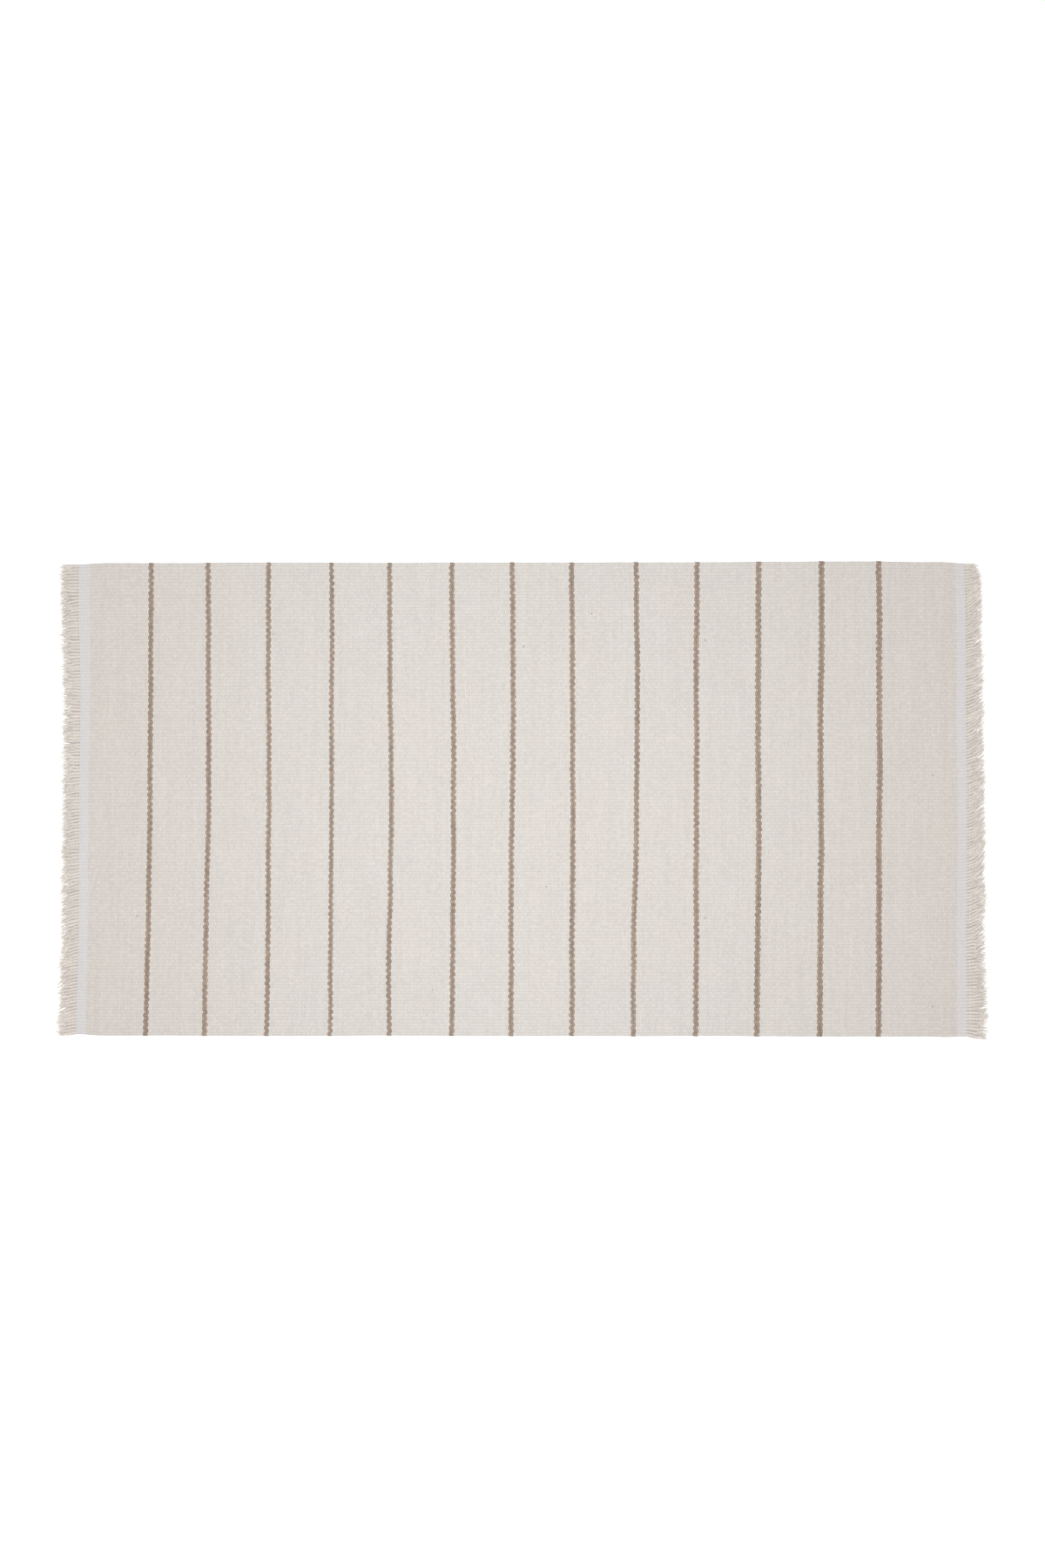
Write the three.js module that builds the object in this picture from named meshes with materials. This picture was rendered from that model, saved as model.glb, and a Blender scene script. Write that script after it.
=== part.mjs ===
// A flat-woven cotton runner rug: cream fields crossed by thin brown stripes, a fine white header band
// at each end, and the free warp ends beyond it as a fringe.
// Millimetres. X runs along the rug, Y across it, Z up. The rug lies flat on z = 0 and is centred on
// the origin, so the underside is the plane it rests on.
// The rug is woven in one length, so its pieces are the runs of weft yarn that follow one another along
// the warp. Each run is a solid of its own, and the next one starts a joint's width further on.
import * as THREE from "three";

// ---- Driving dimensions ----
const RUG_WIDTH = 800; // selvedge to selvedge
const RUG_LENGTH = 1500; // over the two headers, without the fringes
const HEADER_LENGTH = 16; // white header band, along the rug
const FRINGE_LENGTH = 29; // free warp ends beyond a header
const FIELD_THICKNESS = 5; // cream and brown weft packed over the warp
const HEADER_THICKNESS = 3.6; // the header's yarn is finer
const FRINGE_THICKNESS = 2.6; // warp ends lying flat
const SELVEDGE_RADIUS = 1.6; // rounding of the two long edges
const JOINT_GAP = 0.3; // left free between one run of weft and the next

// Picks are single passes of the weft. Each colour is woven in pairs of picks, so that its shuttle comes
// back to the side it started from. The weaver judges the fields by eye, so the count of cream picks
// between two stripes varies by a pair or two. Listed from the -X end to the +X end.
const CREAM_PICKS = [64, 58, 62, 64, 60, 64, 60, 62, 64, 62, 62, 64, 60, 82];
const STRIPE_WIDTH = 7.8; // four picks of a brown yarn that is thicker than the cream

// The fringe: warp ends gathered into tufts that stay joined at a root behind the header.
const RIB_COUNT = 150; // warp cords side by side across the rug
const RIBS_PER_TUFT = 2;
const ROOT_LENGTH = 4; // the part of the fringe where the tufts are still joined
const TUFT_GAP = 1.2; // between two tufts at their roots
const TUFT_TAPER = 0.35; // share of its width that a tuft loses towards its tip
const TUFT_SHORTEST = 0.84; // length of the shortest tuft, as a share of the longest
const TUFT_LEAN = 1.1; // how far a tip strays sideways

// ---- Finishes ----
const FINISHES = {
  cream: new THREE.MeshStandardMaterial({ color: 0xdfd6cb, roughness: 0.95, metalness: 0 }),
  brown: new THREE.MeshStandardMaterial({ color: 0x9c8570, roughness: 0.95, metalness: 0 }),
  white: new THREE.MeshStandardMaterial({ color: 0xdadadb, roughness: 0.9, metalness: 0 }),
  warp: new THREE.MeshStandardMaterial({ color: 0xdcd2c2, roughness: 0.95, metalness: 0 }),
};

const rug = new THREE.Group();
rug.name = "runner_rug";

// ---- The woven runs ----
// The section across the rug: a flat slab with its two long edges rounded top and bottom.
function slabSection(thickness) {
  const half = RUG_WIDTH / 2;
  const r = Math.min(SELVEDGE_RADIUS, 0.49 * thickness);
  const section = new THREE.Shape();
  section.moveTo(-half + r, 0);
  section.lineTo(half - r, 0);
  section.absarc(half - r, r, r, -Math.PI / 2, 0);
  section.lineTo(half, thickness - r);
  section.absarc(half - r, thickness - r, r, 0, Math.PI / 2);
  section.lineTo(-half + r, thickness);
  section.absarc(-half + r, thickness - r, r, Math.PI / 2, Math.PI);
  section.lineTo(-half, r);
  section.absarc(-half + r, r, r, Math.PI, 1.5 * Math.PI);
  return section;
}

// A section is drawn across the rug and upwards, and extruded along the rug.
const ACROSS = new THREE.Vector3(0, 1, 0);
const UP = new THREE.Vector3(0, 0, 1);
const ALONG = new THREE.Vector3(1, 0, 0);
const SECTION_TO_RUG = new THREE.Matrix4().makeBasis(ACROSS, UP, ALONG);

// One run of weft from xStart to xEnd, drawn in by half a joint gap at both ends.
function addRun(name, xStart, xEnd, thickness, finish) {
  const length = xEnd - xStart - JOINT_GAP;
  const slab = new THREE.ExtrudeGeometry(slabSection(thickness), {
    depth: length,
    bevelEnabled: false,
    curveSegments: 3,
  });
  const run = new THREE.Mesh(slab, finish);
  run.name = name;
  run.quaternion.setFromRotationMatrix(SECTION_TO_RUG);
  run.position.x = xStart + JOINT_GAP / 2;
  rug.add(run);
}

const creamPickCount = CREAM_PICKS.reduce((sum, picks) => sum + picks, 0);
const creamLength = RUG_LENGTH - 2 * HEADER_LENGTH - STRIPE_WIDTH * (CREAM_PICKS.length - 1);
const pickPitch = creamLength / creamPickCount;
const twoDigits = (number) => String(number).padStart(2, "0");

let x = -RUG_LENGTH / 2;
addRun("header_band_left", x, x + HEADER_LENGTH, HEADER_THICKNESS, FINISHES.white);
x += HEADER_LENGTH;
CREAM_PICKS.forEach((picks, index) => {
  const fieldEnd = x + picks * pickPitch;
  addRun(`field_weft_${twoDigits(index + 1)}`, x, fieldEnd, FIELD_THICKNESS, FINISHES.cream);
  x = fieldEnd;
  if (index < CREAM_PICKS.length - 1) {
    const stripeEnd = x + STRIPE_WIDTH;
    addRun(`stripe_weft_${twoDigits(index + 1)}`, x, stripeEnd, FIELD_THICKNESS, FINISHES.brown);
    x = stripeEnd;
  }
});
addRun("header_band_right", x, x + HEADER_LENGTH, HEADER_THICKNESS, FINISHES.white);

// ---- The fringes ----
// Length share and sideways stray of tuft number i, between -1 and 1: an uneven, repeatable wave.
const unevenness = (i) => 0.6 * Math.sin(2.4 * i + 0.7) + 0.4 * Math.sin(0.83 * i);

// The outline of one fringe in plan: a straight root along the header, then one tooth for each tuft.
function fringeOutline() {
  const tufts = Math.max(1, Math.round(RIB_COUNT / RIBS_PER_TUFT));
  const pitch = RUG_WIDTH / tufts;
  const rootHalf = pitch / 2 - TUFT_GAP / 2;
  const tipHalf = rootHalf * (1 - TUFT_TAPER);
  const root = Math.min(ROOT_LENGTH, FRINGE_LENGTH / 2);
  const reach = FRINGE_LENGTH - root - JOINT_GAP / 2;
  const outline = new THREE.Shape();
  outline.moveTo(0, -RUG_WIDTH / 2 + TUFT_GAP / 2);
  for (let i = 0; i < tufts; i += 1) {
    const middle = -RUG_WIDTH / 2 + (i + 0.5) * pitch;
    const longest = i % 7 === 3;
    const share = longest ? 1 : 1 - (1 - TUFT_SHORTEST) * 0.5 * (1 + unevenness(i));
    const inner = i > 0 && i < tufts - 1;
    const tip = middle + (inner ? Math.min(TUFT_LEAN, TUFT_GAP) * unevenness(i + 11) : 0);
    outline.lineTo(root, middle - rootHalf);
    outline.lineTo(root + reach * share * 0.85, tip - tipHalf);
    outline.lineTo(root + reach * share, tip);
    outline.lineTo(root + reach * share * 0.85, tip + tipHalf);
    outline.lineTo(root, middle + rootHalf);
  }
  outline.lineTo(0, RUG_WIDTH / 2 - TUFT_GAP / 2);
  return outline;
}

// A fringe starts a joint's width outside its header. The left one is the right one turned end for end.
function addFringe(name, turn) {
  const comb = new THREE.ExtrudeGeometry(fringeOutline(), {
    depth: FRINGE_THICKNESS,
    bevelEnabled: false,
  });
  const fringe = new THREE.Mesh(comb, FINISHES.warp);
  fringe.name = name;
  fringe.rotation.z = turn;
  fringe.position.x = Math.cos(turn) * (RUG_LENGTH / 2 + JOINT_GAP / 2);
  rug.add(fringe);
}
addFringe("fringe_left", Math.PI);
addFringe("fringe_right", 0);

export default rug;
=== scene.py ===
# %% [markdown]
# # A flat-woven runner rug
# The rug is one length of cotton cloth, woven by hand in a plain weave. Thick warp cords run from
# fringe to fringe, and the weft is beaten down over them until they show only as ribs. Cream weft
# makes the fields, four picks of a thicker brown weft make each stripe, and a fine white weft closes
# both ends. The frame says where each run of weft lies. This lesson weaves the runs in Geometry
# Nodes, lays the warp ends out as fringes and finishes the yarns as matt cotton.

# %% Load the frame
import math

import bpy
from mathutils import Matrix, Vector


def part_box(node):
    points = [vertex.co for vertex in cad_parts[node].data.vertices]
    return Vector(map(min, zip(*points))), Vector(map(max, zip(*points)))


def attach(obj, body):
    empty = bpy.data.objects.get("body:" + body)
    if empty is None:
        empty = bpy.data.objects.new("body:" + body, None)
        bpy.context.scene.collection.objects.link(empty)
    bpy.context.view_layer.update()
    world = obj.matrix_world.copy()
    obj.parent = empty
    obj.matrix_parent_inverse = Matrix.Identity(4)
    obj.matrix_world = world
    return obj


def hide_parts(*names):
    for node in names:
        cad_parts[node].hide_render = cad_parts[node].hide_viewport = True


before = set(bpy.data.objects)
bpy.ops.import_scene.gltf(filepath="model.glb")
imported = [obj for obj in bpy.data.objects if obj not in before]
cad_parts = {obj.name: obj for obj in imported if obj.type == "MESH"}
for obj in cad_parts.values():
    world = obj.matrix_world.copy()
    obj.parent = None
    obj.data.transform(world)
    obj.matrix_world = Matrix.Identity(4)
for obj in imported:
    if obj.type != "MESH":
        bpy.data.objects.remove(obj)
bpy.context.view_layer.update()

scene = bpy.context.scene

# %% [markdown]
# ## The order of the runs
# Each run of weft is a node of the frame. The nodes keep a hair's gap between them, but real picks
# touch, so a run here reaches the middle of each gap.

# %% Find the runs and their borders
fields = sorted(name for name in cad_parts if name.startswith("field_weft"))
stripes = sorted(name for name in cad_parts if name.startswith("stripe_weft"))
body = [name for pair in zip(fields, stripes) for name in pair] + fields[-1:]
runs = ["header_band_left"] + body + ["header_band_right"]
boxes = [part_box(run) for run in runs]
middles = [(left[1].x + right[0].x) / 2 for left, right in zip(boxes, boxes[1:])]
borders = [boxes[0][0].x] + middles + [boxes[-1][1].x]
print(len(runs), "runs, borders from", round(borders[0], 4), "to", round(borders[-1], 4))

# %% [markdown]
# ## Sizes of the weave
# A pick is one pass of the weft. It shows on top of every second rib and dives under the ribs between,
# so one pillow of yarn on a rib is two picks long, and the pillows of the next rib lie half a step on.
# Every count of picks is even: a run then starts and ends in the groove between two pillows.

# %% Name the sizes of the weave
MM = 0.001
RIBS = 150  # warp cords across the rug
ROWS_PER_RIB = 3  # mesh rows over one rib: its groove and its two shoulders
CREAM_PICK = 1.54 * MM  # about one pick of cream, along the rug
BROWN_PICKS = 4  # picks in one stripe
HEADER_PICKS = 14  # fine picks in one header band
RIB_DEPTH = 0.95 * MM  # from the top of a rib down to the groove beside it
PILLOW_DEPTH = 0.42 * MM  # from the top of a pillow down to the groove before the next
RIB_SHOULDER = 0.28  # where a rib's round top begins, as a share of the rib
ZIGZAG = 1.65 * MM  # how far a border steps from one rib to the next

rug_width = boxes[1][1].y - boxes[1][0].y
cloth_thickness = boxes[1][1].z - boxes[1][0].z
header_thickness = boxes[0][1].z - boxes[0][0].z
rib_pitch = rug_width / RIBS
print("one rib is", round(rib_pitch / MM, 2), "mm wide")
print("the cloth is", round(cloth_thickness / MM, 2), "mm thick")

# %% [markdown]
# ## A short way to write node trees
# Geometry Nodes and materials are both trees of nodes. Written in full, each node takes several
# lines, so this helper adds one node, feeds its sockets in order and hands back one output.


# %% Make a helper that writes node trees
class Recipe:
    """A node tree being written. Each step adds a node and returns one of its outputs."""

    def __init__(self, tree):
        self.tree = tree

    def feed(self, socket, value):
        if isinstance(value, bpy.types.NodeSocket):
            self.tree.links.new(value, socket)
        elif value is not None:
            socket.default_value = value

    def add(self, kind, *feeds, out=0, also=None, **settings):
        made = self.tree.nodes.new(kind)
        for name, value in settings.items():
            setattr(made, name, value)
        for socket, value in zip(made.inputs, feeds):
            self.feed(socket, value)
        for name, value in (also or {}).items():
            self.feed(made.inputs[name], value)
        return made.outputs[out]

    def math(self, operation, *feeds):
        return self.add("ShaderNodeMath", *feeds, operation=operation)

    def plus(self, *feeds):
        total = feeds[0]
        for value in feeds[1:]:
            total = self.math("ADD", total, value)
        return total

    def minus(self, a, b):
        return self.math("SUBTRACT", a, b)

    def times(self, *feeds):
        product = feeds[0]
        for value in feeds[1:]:
            product = self.math("MULTIPLY", product, value)
        return product

    def blend(self, share, low, high):
        return self.add("ShaderNodeMix", share, None, low, high)

    def ramp(self, value, start, end, low=0.0, high=1.0):
        """A smooth rise from low at start to high at end."""
        return self.add("ShaderNodeMapRange", value, start, end, low, high, interpolation_type="SMOOTHSTEP")

    def vector(self, x=0.0, y=0.0, z=0.0):
        return self.add("ShaderNodeCombineXYZ", x, y, z)

    def wave(self, place, scale, detail=0.0, roughness=0.5):
        """Soft, fixed noise around zero, mostly between -1 and 1."""
        noise = self.add("ShaderNodeTexNoise", noise_dimensions="3D", also={
            "Vector": place, "Scale": scale, "Detail": detail, "Roughness": roughness})
        return self.times(self.minus(noise, 0.5), 2.6)


class NodeTool(Recipe):
    """A recipe for a Geometry Nodes group, with named inputs."""

    def __init__(self, name):
        super().__init__(bpy.data.node_groups.new(name, "GeometryNodeTree"))
        self.entry = self.tree.nodes.new("NodeGroupInput")
        self.exit = self.tree.nodes.new("NodeGroupOutput")

    def take(self, name, kind="Float"):
        self.tree.interface.new_socket(name, in_out="INPUT", socket_type="NodeSocket" + kind)
        return self.entry.outputs[name]

    def give(self, name, value, kind="Float"):
        self.tree.interface.new_socket(name, in_out="OUTPUT", socket_type="NodeSocket" + kind)
        self.tree.links.new(value, self.exit.inputs[name])

    def use(self, tool, out=0, **feeds):
        """Adds another group as one node, fed by the names of its inputs."""
        made = self.tree.nodes.new("GeometryNodeGroup")
        made.node_tree = tool.tree
        for name, value in feeds.items():
            self.feed(made.inputs[name.replace("_", " ").capitalize()], value)
        return made.outputs[out]


print("node recipes are ready")

# %% [markdown]
# ## How the cloth lies
# Hand-woven cloth is never quite square. A line of picks wanders a few millimetres on its way across,
# bows back towards both selvedges, and leans near the ends of the rug. The selvedges swell and draw in
# a little. Both rules are small groups, because the woven runs and the fringes have to follow the same
# lines where they meet.

# %% Write the rule for how a line of picks wanders
LINE_BOW = 13.7 * MM  # how strongly a line bends back, per square metre
BOW_CREST = 0.10  # where across the rug the bow is furthest forward
SLOW_WANDER = 2.6 * MM  # how far a line strays in long, lazy bends
QUICK_WANDER = 0.9 * MM  # how far it strays in short ones
LEFT_FLARE = 4.0 * MM  # how far the outer edge of the left header, line -1, opens at the back

wander_rule = NodeTool("wander of a line")
across = wander_rule.take("Across")
line = wander_rule.take("Line")
lean = wander_rule.take("Lean")
own_line = wander_rule.math("MAXIMUM", line, 0.0)
at_left_edge = wander_rule.math("LESS_THAN", line, -0.5)
flare = wander_rule.times(at_left_edge, wander_rule.ramp(across, 0.10, 0.36), -LEFT_FLARE)
from_crest = wander_rule.minus(across, BOW_CREST)
bow = wander_rule.times(from_crest, from_crest, -LINE_BOW)
slow_place = wander_rule.vector(across, wander_rule.times(own_line, 7.31), 0.5)
quick_place = wander_rule.vector(across, wander_rule.times(own_line, 5.17), 9.5)
wander_rule.give("Shift", wander_rule.plus(
    bow, flare,
    wander_rule.times(lean, across),
    wander_rule.times(wander_rule.wave(slow_place, 3.2), SLOW_WANDER),
    wander_rule.times(wander_rule.wave(quick_place, 13.0), QUICK_WANDER)))
print("wander rule has", len(wander_rule.tree.nodes), "nodes")

# %% Write the rule for how the selvedges draw in
END_PULL = 0.006  # share of its width that the cloth loses at a header
PULL_REACH = 0.045  # how far in from an end the pull begins
WIDER_HALF = 0.005  # share that one half of the rug is wider
LOOSE_CORNER = 0.006  # share that the front right corner is wider
KEPT_WIDTH = 0.9985  # share of its plain width that the cloth keeps on average
SWELL = 0.0016  # share by which it swells and draws in along the rug
SLOW_DRIFT = 0.7 * MM  # how far a warp cord drifts in long bends
QUICK_DRIFT = 0.3 * MM  # how far it drifts in short ones
rug_half = borders[-1]

selvedge_rule = NodeTool("draw of the selvedges")
along = selvedge_rule.take("Along")
across = selvedge_rule.take("Across")
pulled = selvedge_rule.ramp(
    selvedge_rule.math("ABSOLUTE", along), rug_half - PULL_REACH, rug_half, 0.0, END_PULL)
wider = selvedge_rule.ramp(along, 0.05, 0.40, 0.0, WIDER_HALF)
loose_corner = selvedge_rule.times(
    selvedge_rule.ramp(along, 0.68, 0.75), selvedge_rule.ramp(across, 0.0, -0.35), LOOSE_CORNER)
swell = selvedge_rule.times(selvedge_rule.wave(selvedge_rule.vector(along, 3.1, 0.0), 5.0), SWELL)
share = selvedge_rule.plus(KEPT_WIDTH, wider, swell, loose_corner, selvedge_rule.times(pulled, -1.0))
spot_on_rug = selvedge_rule.vector(along, across, 4.2)
drift = selvedge_rule.plus(
    selvedge_rule.times(selvedge_rule.wave(spot_on_rug, 7.0), SLOW_DRIFT),
    selvedge_rule.times(selvedge_rule.wave(spot_on_rug, 26.0), QUICK_DRIFT))
selvedge_rule.give("Place", selvedge_rule.plus(selvedge_rule.times(across, share), drift))
print("selvedge rule has", len(selvedge_rule.tree.nodes), "nodes")

# %% [markdown]
# ## One run of weft
# A run could be a flat slab with the weave painted on, but the ribs and pillows catch the light, so
# they are made as shape. The tool draws a slab on a plain grid, where one step along is one pick and
# three steps across are one rib. Then it moves every corner to its real place. Counting on the grid
# says which corners are grooves and which are tops, and shifts every second rib by one pick, so the
# border between two colours zigzags as it does in cloth. The slab is closed: top, underside and the
# hidden walls between, with one ring of corners halfway up that rounds the selvedges.

# %% Write the weaving tool: the grid and the counts
weaver = NodeTool("woven run")
picks = weaver.take("Picks", "Int")
ribs = weaver.take("Ribs", "Int")
start = weaver.take("Start")
pitch = weaver.take("Pick pitch")
rib_size = weaver.take("Rib pitch")
first_pick = weaver.take("First pick")
rows = weaver.times(ribs, ROWS_PER_RIB)
grid = weaver.add("GeometryNodeMeshGrid", picks, rows, weaver.plus(picks, 1), weaver.plus(rows, 1))


def raise_faces(mesh, chosen):
    """Lifts the chosen faces by half a step, and returns the mesh and its new top."""
    lifted = weaver.add("GeometryNodeExtrudeMesh", mesh, chosen, None, 0.5, False, mode="FACES")
    return lifted, lifted.node.outputs["Top"]


walls, top_faces = raise_faces(grid, True)
walls, top_faces = raise_faces(walls, top_faces)
underside = weaver.add("GeometryNodeFlipFaces", grid)
joined = weaver.add("GeometryNodeJoinGeometry", walls)
weaver.tree.links.new(underside, joined.node.inputs[0])
slab = weaver.add("GeometryNodeMergeByDistance", joined, True, also={"Distance": 0.01})

place = weaver.add("GeometryNodeInputPosition")
spot = weaver.add("ShaderNodeSeparateXYZ", place).node.outputs
pick = weaver.math("ROUND", weaver.plus(spot[0], weaver.times(picks, 0.5)))
row = weaver.math("ROUND", weaver.plus(spot[1], weaver.times(rows, 0.5)))
up_down = weaver.minus(weaver.times(spot[2], 2.0), 1.0)  # 1 on top, 0 halfway, -1 underneath
rib_place = weaver.times(row, 1.0 / ROWS_PER_RIB)
rib = weaver.math("FLOOR", weaver.plus(rib_place, 0.01))
in_rib = weaver.minus(rib_place, rib)
in_groove = weaver.math("LESS_THAN", in_rib, 0.1)
on_rib = weaver.minus(1.0, in_groove)
odd_rib = weaver.math("MODULO", rib, 2.0)
on_pillow = weaver.math("MODULO", pick, 2.0)
print("weaving tool, counts:", len(weaver.tree.nodes), "nodes")

# %% Write the weaving tool: heights and places
start_thickness = weaver.take("Start thickness")
end_thickness = weaver.take("End thickness")
start_line, end_line = weaver.take("Start line"), weaver.take("End line")
start_lean, end_lean = weaver.take("Start lean"), weaver.take("End lean")
start_spread, end_spread = weaver.take("Start spread"), weaver.take("End spread")
start_step, end_step = weaver.take("Start step"), weaver.take("End step")
start_border, end_border = weaver.take("Start border"), weaver.take("End border")
pillow_depth, turn_bulge = weaver.take("Pillow depth"), weaver.take("Turn bulge")
UNEVEN_YARN = 0.13 * MM  # how much one pillow differs from the next in height
UNEVEN_BORDER = 0.6 * MM  # how much one step of a border differs from the next
EDGE_DROP = 0.7 * MM  # how much lower the outermost groove lies, where the weft turns under
TURN_IN_GROOVE = 0.35  # share of its bulge that a turn of weft keeps between two pillows

share_done = weaver.math("DIVIDE", pick, picks)
thickness = weaver.blend(share_done, start_thickness, end_thickness)
pillow_number = weaver.plus(weaver.times(first_pick, 0.5), weaver.math("FLOOR", weaver.times(pick, 0.5)))
chance_place = weaver.vector(pillow_number, weaver.times(rib, 1.37), up_down)
chance = weaver.add("ShaderNodeTexWhiteNoise", chance_place, noise_dimensions="3D")
unevenness = weaver.times(weaver.minus(chance, 0.5), 2 * UNEVEN_YARN, on_pillow, on_rib)
groove_depth = weaver.plus(RIB_DEPTH, weaver.times(pillow_depth, 0.5))
top_depth = weaver.times(weaver.minus(1.0, on_pillow), pillow_depth)
outermost = weaver.math("LESS_THAN", weaver.math("ABSOLUTE", weaver.minus(
    weaver.math("ABSOLUTE", weaver.minus(rib_place, weaver.times(ribs, 0.5))),
    weaver.times(ribs, 0.5))), 0.1)
depth = weaver.plus(
    weaver.blend(in_groove, top_depth, groove_depth), unevenness, weaver.times(outermost, EDGE_DROP))
half_thick = weaver.times(thickness, 0.5)
height = weaver.plus(half_thick, weaver.times(up_down, weaver.minus(half_thick, depth)))

step = weaver.blend(share_done, start_step, end_step)
side_step = weaver.times(weaver.minus(odd_rib, 0.5), on_rib, up_down, step)
x_plain = weaver.plus(start, weaver.times(pick, pitch), side_step)
past_middle = weaver.math("SIGN", weaver.minus(in_rib, 0.5))
shoulder = weaver.times(on_rib, past_middle, 1 / ROWS_PER_RIB - RIB_SHOULDER)
y_count = weaver.plus(rib_place, shoulder, weaver.times(ribs, -0.5))
halfway = weaver.minus(1.0, weaver.math("ABSOLUTE", up_down))
loop = weaver.times(outermost, halfway, weaver.math("SIGN", y_count),
                    weaver.plus(TURN_IN_GROOVE, weaver.times(on_pillow, 1 - TURN_IN_GROOVE)), turn_bulge)
y_plain = weaver.plus(weaver.times(y_count, rib_size), loop)


def border_jitter(border):
    """Each step of a zigzag border falls a little long or short."""
    throw = weaver.add("ShaderNodeTexWhiteNoise", weaver.vector(border, rib, up_down), noise_dimensions="3D")
    return weaver.times(weaver.minus(throw, 0.5), 2 * UNEVEN_BORDER, on_rib)


shift_start = weaver.plus(
    weaver.use(wander_rule, across=y_plain, line=start_line, lean=start_lean),
    start_spread, border_jitter(start_border))
shift_end = weaver.plus(
    weaver.use(wander_rule, across=y_plain, line=end_line, lean=end_lean),
    end_spread, border_jitter(end_border))
x_real = weaver.plus(x_plain, weaver.blend(share_done, shift_start, shift_end))
y_real = weaver.use(selvedge_rule, along=x_plain, across=y_plain)
print("weaving tool, places:", len(weaver.tree.nodes), "nodes")

# %% Write the weaving tool: shading, yarn map and finish
finish = weaver.take("Yarn", "Material")
yarn_map = weaver.vector(weaver.plus(first_pick, pick), rib_place)
mapped = weaver.add("GeometryNodeStoreNamedAttribute", slab, True, "weave", yarn_map,
                    data_type="FLOAT2", domain="CORNER")
at_border = weaver.math("GREATER_THAN", weaver.math("ABSOLUTE", spot[0]),
                        weaver.minus(weaver.times(picks, 0.5), 0.01))
edge_angle = weaver.add("GeometryNodeInputMeshEdgeAngle")
hard_edge = weaver.times(weaver.math("GREATER_THAN", edge_angle, 1.0), at_border)
smooth = weaver.add("GeometryNodeSetShadeSmooth", mapped, True, True, domain="FACE")
creased = weaver.add("GeometryNodeSetShadeSmooth", smooth, hard_edge, False, domain="EDGE")
moved = weaver.add("GeometryNodeSetPosition", creased, True, weaver.vector(x_real, y_real, height))
realized = weaver.add("GeometryNodeRealizeInstances", moved)
finished = weaver.add("GeometryNodeSetMaterial", realized, True, finish)
weaver.give("Geometry", finished, "Geometry")
print("weaving tool is complete with", len(weaver.tree.nodes), "nodes")


# %% Make a helper that runs a tool and keeps its mesh
def make_with(tool, name, values):
    """Runs a node tool with these named inputs, and returns a plain mesh object."""
    maker = bpy.data.objects.new(name + "_maker", bpy.data.meshes.new(name + "_empty"))
    scene.collection.objects.link(maker)
    modifier = maker.modifiers.new("tool", "NODES")
    modifier.node_group = tool.tree
    sockets = {s.name: s.identifier for s in tool.tree.interface.items_tree if s.in_out == "INPUT"}
    for input_name, value in values.items():
        modifier[sockets[input_name]] = value
    evaluated = maker.evaluated_get(bpy.context.evaluated_depsgraph_get())
    mesh = bpy.data.meshes.new_from_object(evaluated)
    bpy.data.objects.remove(maker)
    mesh.name = name
    piece = bpy.data.objects.new(name, mesh)
    scene.collection.objects.link(piece)
    return piece


# %% [markdown]
# ## Cotton yarn
# Matt cotton has no shine of its own, but its loose fibres catch a soft sheen. Close to, each pillow
# of yarn differs a little from the next, fine fibres run along it with a slight twist, and the grooves
# are painted darker, as painted shade where light hardly gets in. The yarn map stored by the weaving
# tool counts picks and ribs, so the finish can tell one pillow from the next however the cloth wanders.

# %% Write the cotton finish
PLY_WIDTH = 1.05 * MM
PLY_SLANT = math.radians(24)
RIB_SHARE = 0.81  # how far into the shade a groove between ribs gets, where one between pillows gets 1
END_YELLOW = 2.2  # how much stronger the yellow at both ends is than its drift elsewhere
FLECK_CELLS = 26.0  # cells in a metre, of which a few hold a fleck of husk


def make_matt(shader, roughness):
    """Cotton hardly shines, but its loose fibres catch a soft sheen."""
    shader.inputs["Roughness"].default_value = roughness
    shader.inputs["Specular IOR Level"].default_value = 0.25
    shader.inputs["Sheen Weight"].default_value = 0.25
    shader.inputs["Sheen Roughness"].default_value = 0.55


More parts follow.
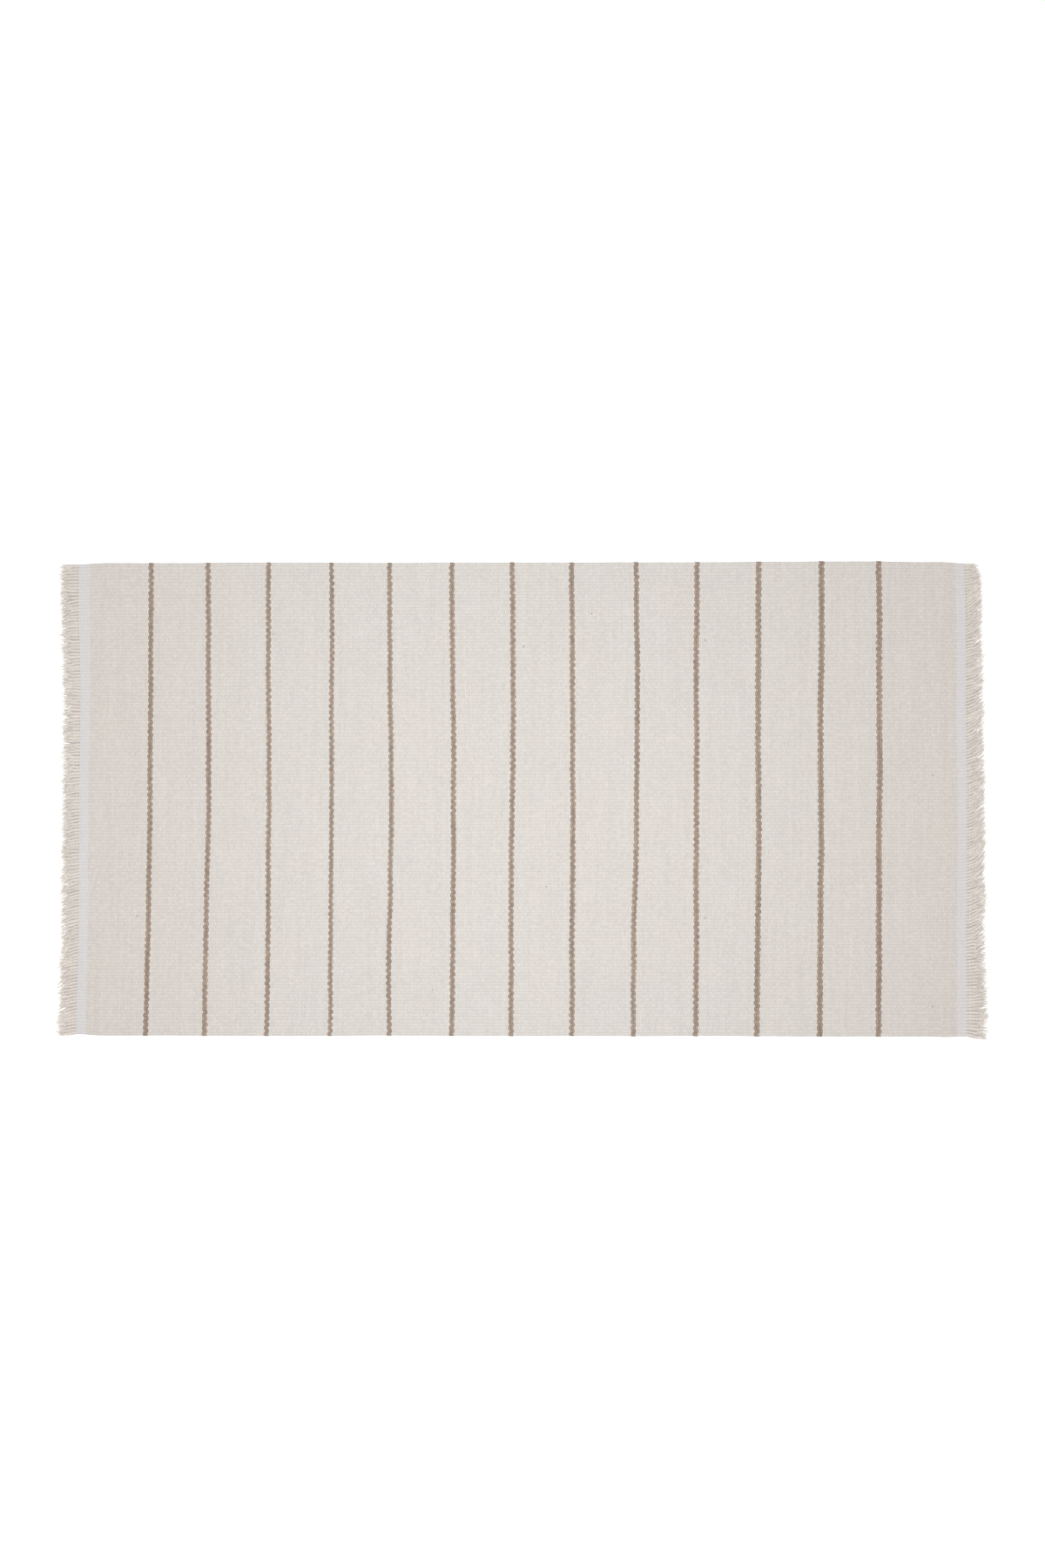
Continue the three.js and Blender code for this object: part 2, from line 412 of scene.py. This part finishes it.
def cotton(name, colour, groove=0.78, tone=0.07, fleck_share=0.0, hue_drift=0.008):
    """A matt cotton yarn in plain weave."""
    material = bpy.data.materials.new(name)
    material.use_nodes = True
    recipe = Recipe(material.node_tree)
    shader = material.node_tree.nodes["Principled BSDF"]
    object_place = recipe.add("ShaderNodeTexCoord", out=3)
    weave_place = recipe.add("ShaderNodeUVMap", uv_map="weave")
    counts = recipe.add("ShaderNodeSeparateXYZ", weave_place).node.outputs
    half_picks = recipe.times(counts[0], 0.5)
    pillow = recipe.math("FLOOR", half_picks)
    in_pillow = recipe.math("FRACT", half_picks)
    rib_number = recipe.math("FLOOR", counts[1])
    over_rib = recipe.math("FRACT", counts[1])

    # One yarn keeps its tone along a pick, and each pillow differs a little from its neighbours.
    yarn_number = recipe.plus(pillow, recipe.times(recipe.math("MODULO", rib_number, 2.0), 0.5))
    slow = recipe.times(counts[1], 0.035)
    yarn_tone = recipe.wave(recipe.vector(recipe.times(yarn_number, 3.7), slow, 0.3), 1.0)
    pillow_tone = recipe.minus(recipe.add(
        "ShaderNodeTexWhiteNoise", recipe.vector(pillow, rib_number), noise_dimensions="3D"), 0.5)
    cloth_tone = recipe.wave(object_place, 24.0, detail=4.0, roughness=0.65)
    slub_place = recipe.add("ShaderNodeMapping", object_place, None, None, (680.0, 340.0, 300.0))
    slubs = recipe.wave(slub_place, 1.0, detail=1.0)
    tones = recipe.plus(1.0, recipe.times(yarn_tone, 0.6 * tone), recipe.times(pillow_tone, tone),
                        recipe.times(slubs, 1.4 * tone), recipe.times(cloth_tone, 0.016))

    # Fibres run along the yarn, across the rug. Its plies turn round each other, so both slant a little,
    # and the grooves between the plies get a little painted shade.
    along_yarn = recipe.add("ShaderNodeMapping", object_place, None, None, (1.0, 1.0, 0.3))
    slanted = recipe.add("ShaderNodeVectorRotate", along_yarn, None, None, PLY_SLANT,
                         rotation_type="Z_AXIS")
    fibre_place = recipe.add("ShaderNodeMapping", slanted, None, None, (4200.0, 600.0, 900.0))
    fibres = recipe.add("ShaderNodeTexNoise", noise_dimensions="3D", also={
        "Vector": fibre_place, "Scale": 1.0, "Detail": 3.0, "Roughness": 0.65})
    over_plies = recipe.add("ShaderNodeSeparateXYZ", slanted)
    ply_phase = recipe.plus(
        recipe.times(over_plies, 2 * math.pi / PLY_WIDTH), recipe.times(recipe.wave(slanted, 420.0), 1.6))
    ply_round = recipe.math("SINE", ply_phase)
    ply_groove_shade = recipe.ramp(ply_round, -1.0, -0.3, 1.0, 0.0)
    fibre_tone_and_ply_shade = recipe.plus(1.0, recipe.times(recipe.minus(fibres, 0.5), 0.22),
                             recipe.times(ply_groove_shade, -0.05))

    # Each pillow is round at its ends, so the painted shade in the grooves gathers at its corners.
    between_pillows = recipe.math("ABSOLUTE", recipe.minus(recipe.times(in_pillow, 2.0), 1.0))
    between_ribs = recipe.times(
        recipe.math("ABSOLUTE", recipe.minus(recipe.times(over_rib, 2.0), 1.0)), RIB_SHARE)
    cubes = recipe.plus(
        recipe.math("POWER", between_pillows, 3.0), recipe.math("POWER", between_ribs, 3.0))
    from_crown = recipe.math("POWER", cubes, 1 / 3)
    shade = recipe.ramp(from_crown, 0.55, 1.05, 1.0, groove)

    # The colour drifts a little from place to place, and turns warmer towards both ends of the rug.
    brightness = recipe.times(tones, fibre_tone_and_ply_shade, shade)
    plain = recipe.add("ShaderNodeRGB")
    plain.default_value = (*colour, 1.0)
    from_middle = recipe.math("ABSOLUTE", recipe.add("ShaderNodeSeparateXYZ", object_place))
    pink = recipe.plus(
        recipe.times(recipe.wave(object_place, 13.0, detail=3.0), hue_drift),
        recipe.ramp(from_middle, 0.36, 0.70, 0.0, hue_drift))
    yellow = recipe.plus(
        recipe.times(recipe.wave(object_place, 5.0, detail=2.0), hue_drift),
        recipe.ramp(from_middle, 0.40, 0.75, 0.0, END_YELLOW * hue_drift))
    tint = recipe.vector(
        recipe.times(brightness, recipe.plus(1.0, pink)),
        recipe.times(brightness, recipe.minus(1.0, pink)),
        recipe.times(brightness, recipe.minus(1.0, yellow)))
    base = recipe.add("ShaderNodeVectorMath", plain, tint, operation="MULTIPLY")
    if fleck_share:
        base = with_flecks(recipe, base, object_place, fleck_share)
    recipe.feed(shader.inputs["Base Color"], base)
    make_matt(shader, 0.93)
    surface = recipe.plus(fibres, recipe.times(ply_round, 0.45))
    bumps = recipe.add("ShaderNodeBump", also={
        "Strength": 0.6, "Distance": 0.16 * MM, "Height": surface})
    recipe.feed(shader.inputs["Normal"], bumps)
    return material


def with_flecks(recipe, base, object_place, share):
    """Cream cotton keeps a few dark flecks of husk."""
    cells = recipe.add("ShaderNodeTexVoronoi", voronoi_dimensions="2D", also={
        "Vector": object_place, "Scale": FLECK_CELLS, "Randomness": 1.0})
    rare = recipe.math("LESS_THAN", recipe.add("ShaderNodeSeparateXYZ", cells.node.outputs["Color"]), share)
    near = recipe.ramp(cells.node.outputs["Distance"], 0.018, 0.034, 1.0, 0.0)
    fleck = recipe.times(rare, near, 0.8)
    mixed = recipe.add("ShaderNodeMix", data_type="RGBA")
    mixer = mixed.node
    recipe.feed(mixer.inputs[0], fleck)
    recipe.feed(mixer.inputs[6], base)
    mixer.inputs[7].default_value = (0.10, 0.075, 0.055, 1.0)
    return mixer.outputs[2]


# The groove values below set how dark the painted shade in the deepest grooves gets.
cream_yarn = cotton("cream cotton weft", (0.772, 0.728, 0.686), fleck_share=0.012)
brown_yarn = cotton("brown cotton weft", (0.420, 0.329, 0.261), tone=0.25, groove=0.60)
white_yarn = cotton("white header cotton", (0.80, 0.779, 0.774), tone=0.04, groove=0.80, hue_drift=0.003)
print("cotton finishes:", [m.name for m in (cream_yarn, brown_yarn, white_yarn)])

# %% [markdown]
# ## Weave the runs
# A line leans more the nearer it is to the left end, and the other way close to the right end. One brown
# stripe is beaten a little closer or looser than the next. Both are small rules of where a run lies.
# With them, the weaving tool makes all the runs in one loop, in the order of the frame.

# %% Write the rules for how a run lies
LEFT_LEAN = 0.020  # how fast the lean grows towards the left end, per metre
LEFT_FROM = -0.25  # where along the rug it starts to grow
RIGHT_LEAN = 0.085  # how fast it grows the other way at the right end
RIGHT_FROM = 0.62


def lean_at(x):
    """How far a line of picks leans, per metre across, at this place along the rug."""
    return LEFT_LEAN * max(0.0, LEFT_FROM - x) - RIGHT_LEAN * max(0.0, x - RIGHT_FROM)


def stripe_spread(number):
    """How much wider than usual a stripe is beaten, on each side, in metres."""
    looser_right = 0.30 * math.tanh(number - 10.3) + 0.32
    closest_fourth = -0.45 * math.exp(-(number - 4) ** 2)
    return (looser_right + closest_fourth) * MM


def line_of(run):
    """The number of the stripe that a run is, counted from the left, or None for another run."""
    return stripes.index(run) + 1 if run in stripes else None


print("leans at both ends:", round(lean_at(borders[0]), 4), round(lean_at(borders[-1]), 4))

# %% Weave every run
HEADER_SET = 1.5 * MM  # the right header was set a little further out than the left one
FINE_PILLOW_DEPTH = 0.15 * MM  # the pillows of the fine white weft are flatter
BROWN_TURN = 1.3 * MM  # how far the thick brown weft sticks out where it turns at a selvedge
OTHER_TURN = 0.6 * MM

pieces = {}
first = 0
for place_in_order, run in enumerate(runs):
    x_start, x_end = borders[place_in_order], borders[place_in_order + 1]
    before = runs[place_in_order - 1] if place_in_order else None
    after = runs[place_in_order + 1] if place_in_order + 1 < len(runs) else None
    own = line_of(run)
    if own:
        count, yarn, label = BROWN_PICKS, brown_yarn, f"brown_stripe_{own:02d}"
        lines = (own, own)
        spreads = (-stripe_spread(own), stripe_spread(own))
    elif run.startswith("header"):
        count, yarn, label = HEADER_PICKS, white_yarn, run.replace("header_band", "white_header")
        lines = (-1, 0) if before is None else (len(stripes) + 1, len(stripes) + 1)
        spreads = (0.0, 0.0) if before is None else (HEADER_SET, HEADER_SET)
    else:
        count = 2 * round((x_end - x_start) / CREAM_PICK / 2)
        yarn, label = cream_yarn, run.replace("field_weft", "cream_field")
        lines = (line_of(before) or 0, line_of(after) or len(stripes) + 1)
        spreads = (stripe_spread(line_of(before)) if line_of(before) else 0.0,
                   -stripe_spread(line_of(after)) if line_of(after) else
                   HEADER_SET if after == "header_band_right" else 0.0)
    thick = (header_thickness if before is None else cloth_thickness,
             header_thickness if after is None else cloth_thickness)
    pieces[run] = make_with(weaver, label, {
        "Picks": count, "Ribs": RIBS, "Start": x_start, "Pick pitch": (x_end - x_start) / count,
        "Rib pitch": rib_pitch, "First pick": float(first),
        "Start thickness": thick[0], "End thickness": thick[1],
        "Start line": float(lines[0]), "End line": float(lines[1]),
        "Start lean": lean_at(x_start), "End lean": lean_at(x_end),
        "Start spread": spreads[0], "End spread": spreads[1],
        "Start step": 0.0 if before is None else ZIGZAG,
        "End step": 0.0 if after is None else ZIGZAG,
        "Start border": float(place_in_order), "End border": place_in_order + 1.0,
        "Pillow depth": FINE_PILLOW_DEPTH if run.startswith("header") else PILLOW_DEPTH,
        "Turn bulge": BROWN_TURN if own else OTHER_TURN,
        "Yarn": yarn})
    first += count
faces = sum(len(p.data.polygons) for p in pieces.values())
print(len(pieces), "runs woven from", first, "picks,", faces, "faces")

# %% [markdown]
# ## Fringes
# Beyond each header the warp is cut and left loose. Every rib carries two warp ends, and each end has
# opened into four or five strands, so nine strands leave each rib. Three of them lie evenly
# underneath. The other six leave the header as one wavy bundle, are brushed over to one side and open
# out until they touch the next rib's. One tool draws both fringes from one line per strand.

# %% Write the fringe tool: where each strand starts and ends
STRANDS_PER_RIB = 9
STRANDS_BELOW = 3  # strands of each rib that lie underneath
UPPER_POINTS = 9  # points along an upper strand, which waves
LOWER_POINTS = 3
ROOT_GRIP = 0.48  # share of its rib that a bundle of strands fills where it leaves the header
ROOT_INSET = 2.0 * MM  # how far a strand starts inside the header

fringer = NodeTool("fringe")
ribs = fringer.take("Ribs", "Int")
edge, line, lean = fringer.take("Edge"), fringer.take("Line"), fringer.take("Lean")
outward, reach = fringer.take("Outward"), fringer.take("Reach")
low_slant, high_slant = fringer.take("Low slant"), fringer.take("High slant")
turn_place, turn_width = fringer.take("Turn place"), fringer.take("Turn width")
bulge = fringer.take("Bulge")
longer_back, longer_front = fringer.take("Longer back"), fringer.take("Longer front")
rib_size, seed = fringer.take("Rib pitch"), fringer.take("Seed")

one_line = fringer.add("GeometryNodeCurvePrimitiveLine", None, (1.0, 0.0, 0.0))
lines = fringer.add("GeometryNodeDuplicateElements", one_line, True,
                    fringer.times(ribs, STRANDS_PER_RIB), domain="SPLINE")
number = lines.node.outputs["Duplicate Index"]
way = fringer.add("GeometryNodeSplineParameter")  # 0 at the root of a strand, 1 at its tip

rib = fringer.math("FLOOR", fringer.times(fringer.plus(number, 0.5), 1 / STRANDS_PER_RIB))
in_rib = fringer.minus(number, fringer.times(rib, STRANDS_PER_RIB))
lower = fringer.math("LESS_THAN", in_rib, STRANDS_BELOW - 0.5)
upper = fringer.minus(1.0, lower)
strands = fringer.add("GeometryNodeResampleCurve", lines, True, also={
    "Count": fringer.blend(lower, UPPER_POINTS, LOWER_POINTS)})
share_above = fringer.times(
    fringer.plus(in_rib, 0.5 - STRANDS_BELOW), 1 / (STRANDS_PER_RIB - STRANDS_BELOW))
share_below = fringer.times(fringer.plus(in_rib, 0.5), 1 / STRANDS_BELOW)
share_of_rib = fringer.blend(lower, share_above, share_below)
rib_start = fringer.minus(rib, fringer.times(ribs, 0.5))
spread_place = fringer.plus(rib_start, share_of_rib)
gripped = fringer.plus(0.5 - 0.5 * ROOT_GRIP, fringer.times(share_of_rib, ROOT_GRIP))
grip_place = fringer.plus(rib_start, gripped)
opened = fringer.math("MAXIMUM", lower, fringer.ramp(way, 0.25, 1.0))
across = fringer.times(fringer.blend(opened, grip_place, spread_place), rib_size)
rest_across = fringer.times(spread_place, rib_size)
dice = fringer.add("ShaderNodeTexWhiteNoise", fringer.vector(number, seed, 2.0), noise_dimensions="3D")
chances = fringer.add("ShaderNodeSeparateXYZ", dice.node.outputs["Color"]).node.outputs
print("fringe tool, strands:", len(fringer.tree.nodes), "nodes")

# %% Write the fringe tool: how thick a strand is
ROOT_RADIUS = 0.66 * MM
END_RADIUS = 0.60 * MM
FULLER_BELOW = 0.75  # how much thicker the strands underneath are, as they have opened out
THIN_TIP = 0.22  # how thin a worn tip is, as a share of its strand

thin = fringer.blend(way, ROOT_RADIUS, END_RADIUS)
fuller_below = fringer.plus(1.0, fringer.times(lower, FULLER_BELOW))
worn_tip = fringer.ramp(way, 0.62, 1.0, 1.0, THIN_TIP)
radius = fringer.times(thin, fuller_below, worn_tip, fringer.plus(0.85, fringer.times(chances[2], 0.3)))
print("fringe tool, thickness:", len(fringer.tree.nodes), "nodes")

# %% Write the fringe tool: how each strand is brushed aside
SLOW_SLANT = 0.36  # how much the slant changes over a hand's width of fringe
QUICK_SLANT = 0.15  # how much it changes from tuft to tuft
BACK_UPRIGHT = (0.335, 0.395)  # where, across the rug, a slant dies away towards the back selvedge
FRONT_UPRIGHT = (-0.350, -0.396)  # and towards the front one
FRONT_CORNER = (-0.37, -0.40)  # where the outermost strands bulge out past the front selvedge
BUNDLE_WAVE = 2.3 * MM  # how far the bundle of one rib waves from side to side
TUFT_PULL = 1.2 * MM  # how far the tips of the upper strands move together into tufts
STRAY = 1.3 * MM  # how far one strand strays from the rest
CURL = 0.7 * MM  # how far it curls on its own

slant_noise = fringer.plus(
    fringer.times(fringer.wave(fringer.vector(rest_across, seed, 6.0), 14.0), SLOW_SLANT),
    fringer.times(fringer.wave(fringer.vector(rest_across, seed, 7.0), 48.0), QUICK_SLANT))
brushed = fringer.ramp(
    rest_across, fringer.minus(turn_place, turn_width), fringer.plus(turn_place, turn_width),
    low_slant, high_slant)
upright_at_back = fringer.ramp(rest_across, *BACK_UPRIGHT, 1.0, 0.0)
upright_at_front = fringer.ramp(rest_across, *FRONT_UPRIGHT, 1.0, 0.0)
slant = fringer.times(fringer.plus(slant_noise, brushed), upright_at_back, upright_at_front)
bend = fringer.times(way, fringer.plus(0.35, fringer.times(way, 0.65)))
bundle_place = fringer.vector(fringer.times(rib, 0.30), fringer.times(way, 3.3), seed)
bundle_wave = fringer.times(
    fringer.wave(bundle_place, 1.0), BUNDLE_WAVE, fringer.ramp(way, 0.0, 0.6), upper)
tuft = fringer.times(
    fringer.wave(fringer.vector(rest_across, seed, 1.0), 95.0), TUFT_PULL, way, upper)
stray = fringer.times(
    fringer.minus(chances[0], 0.5), 2 * STRAY, way, way, fringer.plus(0.3, upper))
curl_place = fringer.vector(fringer.times(number, 0.61), fringer.times(way, 3.2), seed)
curl = fringer.times(fringer.wave(curl_place, 1.0), CURL, way)
low_corner = fringer.times(
    fringer.ramp(rest_across, *FRONT_CORNER), bulge, fringer.ramp(way, 0.0, 0.8), -1.0)
y_rest = fringer.use(selvedge_rule, along=edge, across=across)
lying_y = fringer.plus(
    y_rest, fringer.times(slant, reach, outward, bend), bundle_wave, tuft, stray, curl, low_corner)
print("fringe tool, slant:", len(fringer.tree.nodes), "nodes")

# %% Write the fringe tool: how long and how high each strand lies
RAGGED = 8.5 * MM  # how much shorter than the longest strand the shortest is
SHORT_BELOW = 3.5 * MM  # how much shorter the strands underneath are
UNEVEN_CUT = 1.8 * MM  # how far the cut strays from a straight line
ROUND_CORNER = 2.5 * MM  # how much shorter the outermost strands are
ROOT_HEIGHT = 2.55 * MM  # how high an upper strand lies at its root
END_HEIGHT = 2.15 * MM  # and at its end
LOWER_HEIGHT = 1.25 * MM
RIPPLE = 0.22 * MM  # how much a strand ripples up and down
half_width_squared = (rug_width / 2) ** 2

behind = fringer.math("MAXIMUM", rest_across, 0.0)
in_front = fringer.math("MINIMUM", rest_across, 0.0)
cut = fringer.plus(
    reach,
    fringer.times(fringer.wave(fringer.vector(rest_across, seed, 3.0), 24.0), UNEVEN_CUT),
    fringer.times(fringer.minus(fringer.times(chances[1], chances[1]), 0.2), -RAGGED,
                  fringer.minus(1.0, fringer.times(lower, 0.5))),
    fringer.times(lower, -SHORT_BELOW),
    fringer.times(behind, behind, longer_back, 1 / half_width_squared),
    fringer.times(in_front, in_front, longer_front, 1 / half_width_squared),
    fringer.ramp(fringer.math("ABSOLUTE", rest_across), 0.382, 0.400, 0.0, -ROUND_CORNER))
root_x = fringer.plus(edge, fringer.use(wander_rule, across=across, line=line, lean=lean))
run_out = fringer.minus(fringer.times(way, fringer.plus(cut, ROOT_INSET)), ROOT_INSET)
lying_x = fringer.plus(root_x, fringer.times(run_out, outward))

ripple = fringer.times(fringer.wave(fringer.vector(fringer.times(number, 0.83), way, 8.0), 2.0), RIPPLE)
upper_height = fringer.blend(way, ROOT_HEIGHT, END_HEIGHT)
lying_z = fringer.math(
    "MAXIMUM", radius, fringer.plus(fringer.blend(upper, LOWER_HEIGHT, upper_height), ripple))
laid = fringer.add("GeometryNodeSetPosition", strands, True, fringer.vector(lying_x, lying_y, lying_z))
print("fringe tool, places:", len(fringer.tree.nodes), "nodes")

# %% Write the fringe tool: tubes and finish
finish = fringer.take("Yarn", "Material")
numbered = fringer.add("GeometryNodeStoreNamedAttribute", laid, True, "strand", number,
                       data_type="FLOAT", domain="POINT")
measured = fringer.add("GeometryNodeStoreNamedAttribute", numbered, True, "along",
                       fringer.times(way, reach), data_type="FLOAT", domain="POINT")
ring = fringer.add("GeometryNodeCurvePrimitiveCircle", 4)
circled = fringer.add("GeometryNodeStoreNamedAttribute", ring, True, "around",
                      fringer.add("GeometryNodeInputPosition"), data_type="FLOAT_VECTOR", domain="POINT")
tubes = fringer.add("GeometryNodeCurveToMesh", measured, circled, radius, True)
rounded = fringer.add("GeometryNodeSetShadeSmooth", tubes, True, True, domain="FACE")
realized = fringer.add("GeometryNodeRealizeInstances", rounded)
fringer.give("Geometry", fringer.add("GeometryNodeSetMaterial", realized, True, finish), "Geometry")
print("fringe tool is complete with", len(fringer.tree.nodes), "nodes")

# %% [markdown]
# ## Loose warp yarn
# A strand of the fringe is the same cotton without the weft round it. Its two plies turn about each
# other, which shows as slanting grooves with painted shade in them, and each strand has its own tone.
# The strands underneath get painted shade, as the ones on top keep the light from them, and the ends
# are paler, partly where fibres open and partly as painted light that lifts the shade among the tips.

# %% Write the loose yarn finish
PLY_TURN = 4.5 * MM  # length of strand in which its plies turn once round each other


def loose_yarn(name, colour):
    """Plied cotton yarn that lies loose, for strands with their own length and turn."""
    material = bpy.data.materials.new(name)
    material.use_nodes = True
    recipe = Recipe(material.node_tree)
    shader = material.node_tree.nodes["Principled BSDF"]
    object_place = recipe.add("ShaderNodeTexCoord", out=3)
    strand_number = recipe.add("ShaderNodeAttribute", attribute_name="strand", out=2)
    length_done = recipe.add("ShaderNodeAttribute", attribute_name="along", out=2)
    ring_place = recipe.add("ShaderNodeAttribute", attribute_name="around", out=1)
    ring = recipe.add("ShaderNodeSeparateXYZ", ring_place).node.outputs
    angle = recipe.math("ARCTAN2", ring[1], ring[0])
    turns = recipe.plus(recipe.times(angle, 2.0), recipe.times(length_done, 2 * math.pi / PLY_TURN))
    ply_round = recipe.math("COSINE", turns)
    # The grooves between the plies get painted shade.
    ply_groove_shade = recipe.ramp(ply_round, -1.0, -0.2, 1.0, 0.0)

    height = recipe.add("ShaderNodeSeparateXYZ", object_place, out=2)
    own_tone = recipe.minus(recipe.add(
        "ShaderNodeTexWhiteNoise", recipe.vector(strand_number, 3.0), noise_dimensions="2D"), 0.5)
    patch_tone = recipe.wave(object_place, 60.0, detail=2.0)
    fibre_place = recipe.vector(recipe.times(angle, 1.4), recipe.times(length_done, 700.0), strand_number)
    fibres = recipe.add("ShaderNodeTexNoise", noise_dimensions="3D", also={
        "Vector": fibre_place, "Scale": 1.6, "Detail": 2.0, "Roughness": 0.6})
    # Painted shade darkens the low strands by height and leaves the top ones a touch brighter; the tips grow
    # paler, partly where fibres open and partly as painted light against the shade among them.
    brightness = recipe.times(
        recipe.plus(1.0, recipe.times(own_tone, 0.20), recipe.times(patch_tone, 0.03)),
        recipe.plus(0.93, recipe.times(fibres, 0.14)),
        recipe.blend(ply_groove_shade, 1.0, 0.78),
        recipe.ramp(height, 1.2 * MM, 2.7 * MM, 0.78, 1.03),
        recipe.ramp(length_done, 16.0 * MM, 30.0 * MM, 1.0, 1.13))
    plain = recipe.add("ShaderNodeRGB")
    plain.default_value = (*colour, 1.0)
    tint = recipe.vector(brightness, brightness, brightness)
    recipe.feed(shader.inputs["Base Color"],
                recipe.add("ShaderNodeVectorMath", plain, tint, operation="MULTIPLY"))
    make_matt(shader, 0.95)
    surface = recipe.plus(recipe.times(ply_round, 0.5), fibres)
    recipe.feed(shader.inputs["Normal"], recipe.add("ShaderNodeBump", also={
        "Strength": 0.5, "Distance": 0.15 * MM, "Height": surface}))
    return material


warp_yarn = loose_yarn("loose cotton warp", (0.844, 0.783, 0.721))
print("finish made:", warp_yarn.name)

# %% [markdown]
# ## Lay out both fringes
# The two fringes aren't alike. The right one has been brushed towards the back and lies slanted for
# most of its width. The left one is a little shorter, straight in its back half and brushed forward
# in its front half. One tool draws both, so each says only how far it reaches and how it slants.

# %% Lay out the fringes
last_line = float(len(stripes) + 1)
common = {"Ribs": RIBS, "Rib pitch": rib_pitch, "Yarn": warp_yarn}
pieces["fringe_left"] = make_with(fringer, "fringe_yarns_left", common | {
    "Edge": borders[0], "Line": -1.0, "Lean": lean_at(borders[0]), "Outward": -1.0,
    "Reach": 32.1 * MM, "Low slant": 0.36, "High slant": 0.04, "Turn place": -0.05, "Turn width": 0.15,
    "Bulge": 3.5 * MM, "Longer back": 2.5 * MM, "Longer front": 3.5 * MM, "Seed": 11.0})
pieces["fringe_right"] = make_with(fringer, "fringe_yarns_right", common | {
    "Edge": borders[-1] + HEADER_SET, "Line": last_line, "Lean": lean_at(borders[-1]), "Outward": 1.0,
    "Reach": 33.3 * MM, "Low slant": 0.08, "High slant": 0.58, "Turn place": -0.25, "Turn width": 0.08,
    "Bulge": 5.5 * MM, "Longer back": -5.0 * MM, "Longer front": 6.0 * MM, "Seed": 27.0})
for side in ("fringe_left", "fringe_right"):
    print(pieces[side].name, len(pieces[side].data.polygons), "faces")

# %% [markdown]
# ## What each piece stands for
# Every woven run and fringe takes the place of its plain node, which is hidden, and all of them hang
# from one root. For each field, the loop at the end only looks up the stripe, header and fringe beside it.

# %% Put the pieces in the frame
FLOOR_REACH = 30.0  # metres of floor on each side of the middle
floor_corners = [(x * FLOOR_REACH, y * FLOOR_REACH, 0) for x, y in ((-1, -1), (1, -1), (1, 1), (-1, 1))]
plane = bpy.data.meshes.new("floor")
plane.from_pydata(floor_corners, [], [(0, 1, 2, 3)])
floor = bpy.data.objects.new("floor", plane)
scene.collection.objects.link(floor)

for run, piece in pieces.items():
    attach(piece, "root")
    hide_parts(run)

for number, field in enumerate(fields):
    beside = [pieces[stripes[number]]] if number < len(stripes) else []
    if number == 0:
        beside += [pieces["header_band_left"], pieces["fringe_left"]]
    if number == len(fields) - 1:
        beside += [pieces["header_band_right"], pieces["fringe_right"]]
print(len(pieces), "pieces stand for", len(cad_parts), "nodes")

# %% [markdown]
# ## Floor, light and camera
# The rug lies on a white floor under one soft light, with bright even light from all round. The
# camera looks straight down from high above, so the rug shows no perspective.

# %% Make the floor, light and camera
floor_finish = bpy.data.materials.new("white floor")
floor_finish.use_nodes = True
paint = floor_finish.node_tree.nodes["Principled BSDF"]
paint.inputs["Base Color"].default_value = (0.94, 0.94, 0.94, 1.0)
paint.inputs["Roughness"].default_value = 0.9
paint.inputs["Emission Color"].default_value = (1.0, 1.0, 1.0, 1.0)
paint.inputs["Emission Strength"].default_value = 0.45
plane.materials.append(floor_finish)

world = bpy.data.worlds.new("bright room")
world.use_nodes = True
world.node_tree.nodes["Background"].inputs["Color"].default_value = (1.0, 1.0, 1.0, 1.0)
world.node_tree.nodes["Background"].inputs["Strength"].default_value = 0.446
scene.world = world

lamp = bpy.data.lights.new("soft lamp", "AREA")
lamp.shape = "SQUARE"
lamp.size = 1.2
lamp.energy = 29.0
lamp_object = bpy.data.objects.new("soft_lamp", lamp)
lamp_object.location = (-0.05, -0.04, 2.0)
scene.collection.objects.link(lamp_object)

VIEW_HEIGHT = 2.652  # how much of the floor the camera sees from top to bottom, in metres
lens = bpy.data.cameras.new("camera")
lens.lens = 100.0
lens.sensor_width = 36.0
camera = bpy.data.objects.new("camera", lens)
camera.location = (-0.0015, 0.0258, cloth_thickness + VIEW_HEIGHT * lens.lens / lens.sensor_width)
scene.collection.objects.link(camera)
scene.camera = camera
scene.view_settings.view_transform = "Standard"
print("camera", round(camera.location.z, 3), "m above the floor")
